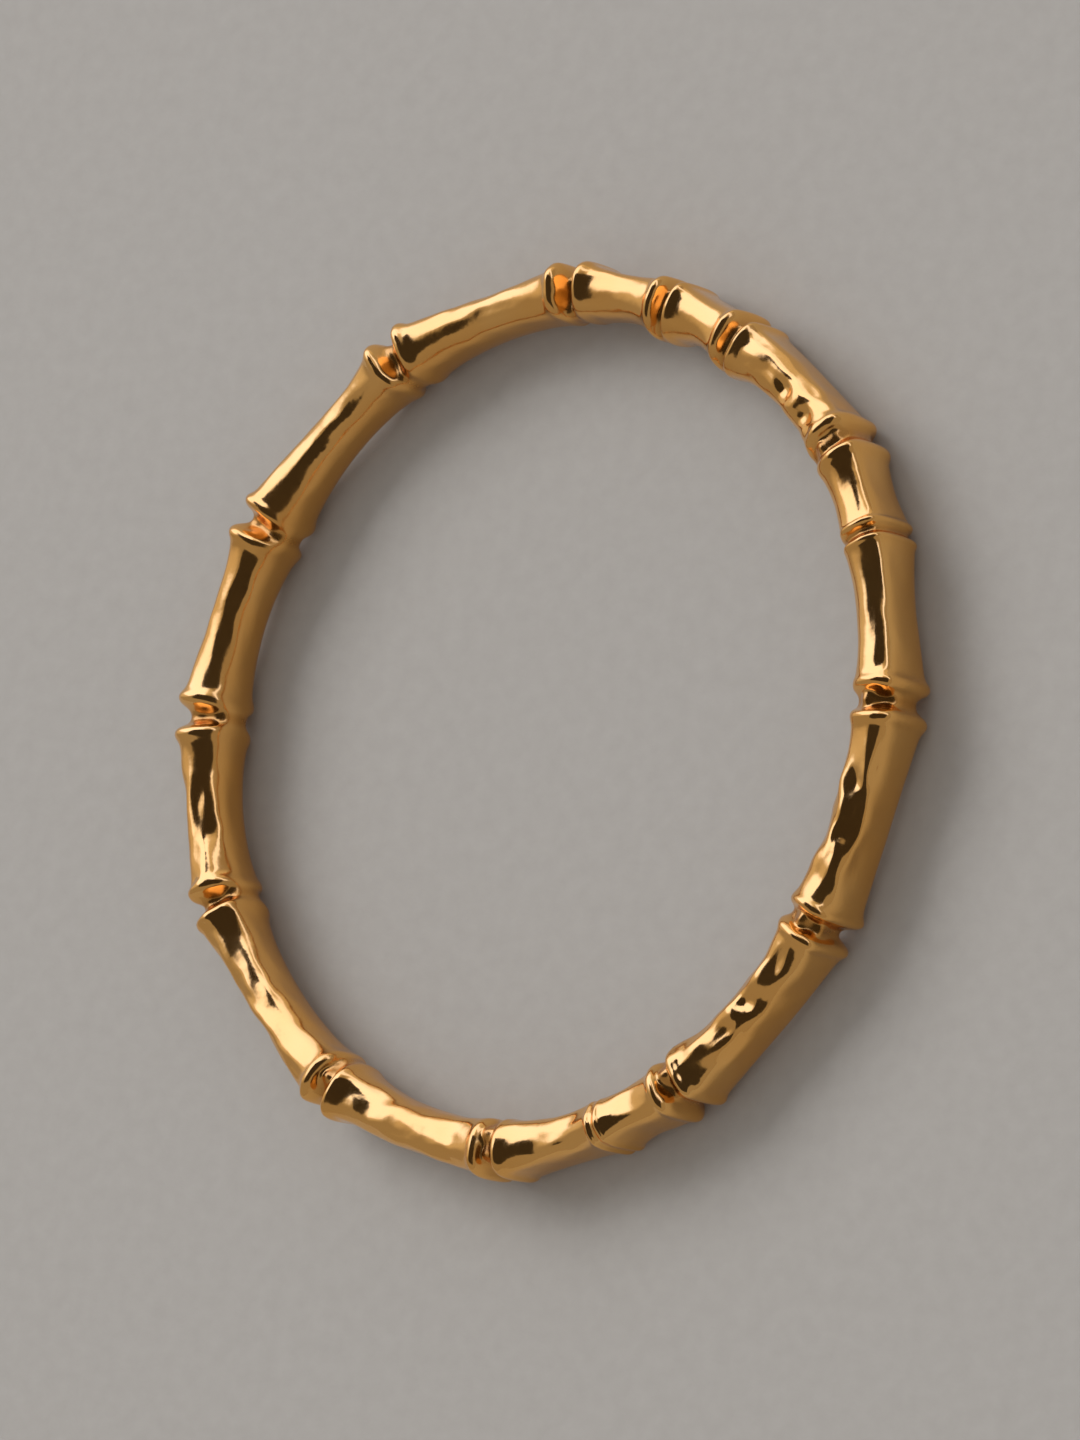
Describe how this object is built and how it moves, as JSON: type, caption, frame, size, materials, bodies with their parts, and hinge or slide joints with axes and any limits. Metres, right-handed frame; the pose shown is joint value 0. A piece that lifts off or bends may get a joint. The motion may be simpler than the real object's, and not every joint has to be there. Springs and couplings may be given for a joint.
{
  "type": "stackable bamboo band ring",
  "caption": "Slim one-piece finger ring shaped like a hoop of bamboo cane, with ridged joints between waisted lengths.",
  "frame": {"origin": "on the axis of the finger hole, level with the lowest faces of the joints", "axes": "+Z along the axis of the finger hole, up from the surface that the ring lies on"},
  "size_m": [0.0217, 0.0219, 0.002],
  "materials": {
    "polished_gold": "polished"
  },
  "bodies": {
    "root": {"bamboo_band": "polished_gold"}
  },
  "joints": []
}
